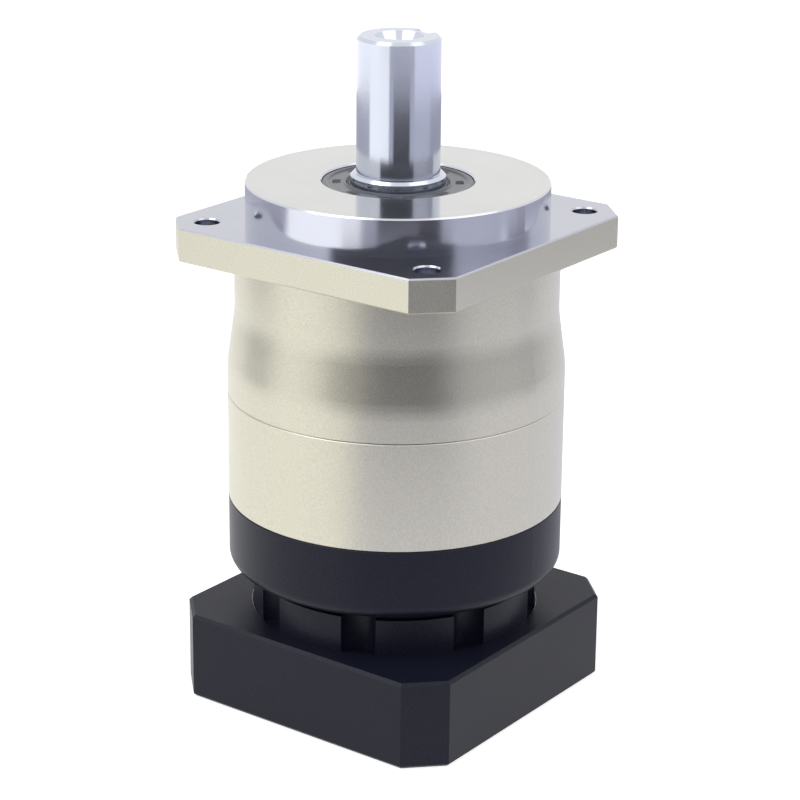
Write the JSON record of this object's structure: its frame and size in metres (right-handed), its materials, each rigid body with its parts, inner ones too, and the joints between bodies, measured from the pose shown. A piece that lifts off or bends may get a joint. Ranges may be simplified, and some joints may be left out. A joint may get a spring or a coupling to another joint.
{
  "type": "helical planetary gearbox",
  "caption": "Inline helical planetary gearbox with square output flange, round pilot, keyed output shaft and a square motor adapter with a clamping hub.",
  "frame": {"origin": "centre of the motor face, on the gearbox axis", "axes": "+Z along the output shaft towards the load, X and Y square to the flange's sides, -X towards the access plug"},
  "size_m": [0.09, 0.09, 0.18],
  "materials": {
    "champagne_aluminium": "satin, pale gold plating",
    "champagne_steel": "satin, pale gold plating",
    "black_anodised": "satin black anodising",
    "turned_steel": "turned and polished",
    "gear_steel": "ground, lightly oiled",
    "bearing_steel": "ground and polished",
    "spring_steel": "dark phosphated",
    "black_screw": "black oxide",
    "bright_screw": "zinc plated",
    "bronze": "sintered bronze",
    "cage_plastic": "glass filled nylon",
    "seal_rubber": "satin nitrile rubber"
  },
  "bodies": {
    "housing": {"output_housing": "champagne_aluminium", "ring_gear_housing": "champagne_steel", "input_housing": "black_anodised", "motor_adapter": "black_anodised", "access_plug": "bright_screw", "housing_screws": "black_screw", "adapter_screws": "black_screw", "bearing_clamp_ring": "turned_steel", "front_bearing_cup": "bearing_steel", "rear_bearing_cup": "bearing_steel", "output_seal": "seal_rubber", "input_bearing_outer_ring": "bearing_steel", "input_bearing_shields": "seal_rubber", "input_housing_circlip": "spring_steel", "input_seal": "seal_rubber"},
    "output": {"output_carrier": "turned_steel", "front_bearing_cone": "bearing_steel", "rear_bearing_cone": "bearing_steel", "bearing_spacer": "turned_steel", "output_shaft_circlip": "spring_steel", "output_planet_pin_1": "bearing_steel", "output_planet_pin_2": "bearing_steel", "output_planet_pin_3": "bearing_steel", "output_planet_pin_4": "bearing_steel"},
    "front_rollers": {"front_bearing_rollers": "bearing_steel", "front_bearing_cage": "cage_plastic"},
    "rear_rollers": {"rear_bearing_rollers": "bearing_steel", "rear_bearing_cage": "cage_plastic"},
    "input_balls": {"input_bearing_balls": "bearing_steel", "input_bearing_cage": "cage_plastic"},
    "first_stage": {"input_carrier": "gear_steel", "input_carrier_foot": "turned_steel", "stage_thrust_washer": "bronze", "input_planet_pin_1": "bearing_steel", "input_planet_pin_2": "bearing_steel", "input_planet_pin_3": "bearing_steel"},
    "input": {"input_shaft": "turned_steel", "clamp_collar": "turned_steel", "clamp_screw": "black_screw", "input_bearing_inner_ring": "bearing_steel", "input_shaft_circlip": "spring_steel"},
    "output_planet_1": {"output_planet_1": "gear_steel"},
    "output_planet_2": {"output_planet_2": "gear_steel"},
    "output_planet_3": {"output_planet_3": "gear_steel"},
    "output_planet_4": {"output_planet_4": "gear_steel"},
    "input_planet_1": {"input_planet_1": "gear_steel"},
    "input_planet_2": {"input_planet_2": "gear_steel"},
    "input_planet_3": {"input_planet_3": "gear_steel"}
  },
  "joints": [
    {"name": "output_turn", "type": "hinge", "parent": "housing", "child": "output", "pos_m": [0, 0, 0.1], "axis": [0, 0, 1], "continuous": true},
    {"name": "front_bearing_turn", "type": "hinge", "parent": "housing", "child": "front_rollers", "pos_m": [0, 0, 0.1267], "axis": [0, 0, 1], "continuous": true},
    {"name": "rear_bearing_turn", "type": "hinge", "parent": "housing", "child": "rear_rollers", "pos_m": [0, 0, 0.10135], "axis": [0, 0, 1], "continuous": true},
    {"name": "first_stage_turn", "type": "hinge", "parent": "housing", "child": "first_stage", "pos_m": [0, 0, 0.066], "axis": [0, 0, 1], "continuous": true},
    {"name": "input_turn", "type": "hinge", "parent": "housing", "child": "input", "pos_m": [0, 0, 0.035], "axis": [0, 0, 1], "continuous": true},
    {"name": "input_bearing_turn", "type": "hinge", "parent": "housing", "child": "input_balls", "pos_m": [0, 0, 0.0353], "axis": [0, 0, 1], "continuous": true},
    {"name": "output_planet_1_turn", "type": "hinge", "parent": "output", "child": "output_planet_1", "pos_m": [0.01464, 0.01464, 0.08], "axis": [0, 0, 1], "continuous": true},
    {"name": "output_planet_2_turn", "type": "hinge", "parent": "output", "child": "output_planet_2", "pos_m": [-0.01464, 0.01464, 0.08], "axis": [0, 0, 1], "continuous": true},
    {"name": "output_planet_3_turn", "type": "hinge", "parent": "output", "child": "output_planet_3", "pos_m": [-0.01464, -0.01464, 0.08], "axis": [0, 0, 1], "continuous": true},
    {"name": "output_planet_4_turn", "type": "hinge", "parent": "output", "child": "output_planet_4", "pos_m": [0.01464, -0.01464, 0.08], "axis": [0, 0, 1], "continuous": true},
    {"name": "input_planet_1_turn", "type": "hinge", "parent": "first_stage", "child": "input_planet_1", "pos_m": [0.01681, 0.00971, 0.0585], "axis": [0, 0, 1], "continuous": true},
    {"name": "input_planet_2_turn", "type": "hinge", "parent": "first_stage", "child": "input_planet_2", "pos_m": [-0.01681, 0.00971, 0.0585], "axis": [0, 0, 1], "continuous": true},
    {"name": "input_planet_3_turn", "type": "hinge", "parent": "first_stage", "child": "input_planet_3", "pos_m": [0, -0.01941, 0.0585], "axis": [0, 0, 1], "continuous": true}
  ],
  "couplings": [
    {"joint": "front_bearing_turn", "follows": "output_turn", "ratio": 0.44646},
    {"joint": "rear_bearing_turn", "follows": "output_turn", "ratio": 0.44996},
    {"joint": "first_stage_turn", "follows": "output_turn", "ratio": 4},
    {"joint": "input_turn", "follows": "output_turn", "ratio": 20},
    {"joint": "input_bearing_turn", "follows": "output_turn", "ratio": 8.7792},
    {"joint": "output_planet_1_turn", "follows": "output_turn", "ratio": -3},
    {"joint": "output_planet_2_turn", "follows": "output_turn", "ratio": -3},
    {"joint": "output_planet_3_turn", "follows": "output_turn", "ratio": -3},
    {"joint": "output_planet_4_turn", "follows": "output_turn", "ratio": -3},
    {"joint": "input_planet_1_turn", "follows": "output_turn", "ratio": -10.667},
    {"joint": "input_planet_2_turn", "follows": "output_turn", "ratio": -10.667},
    {"joint": "input_planet_3_turn", "follows": "output_turn", "ratio": -10.667}
  ]
}
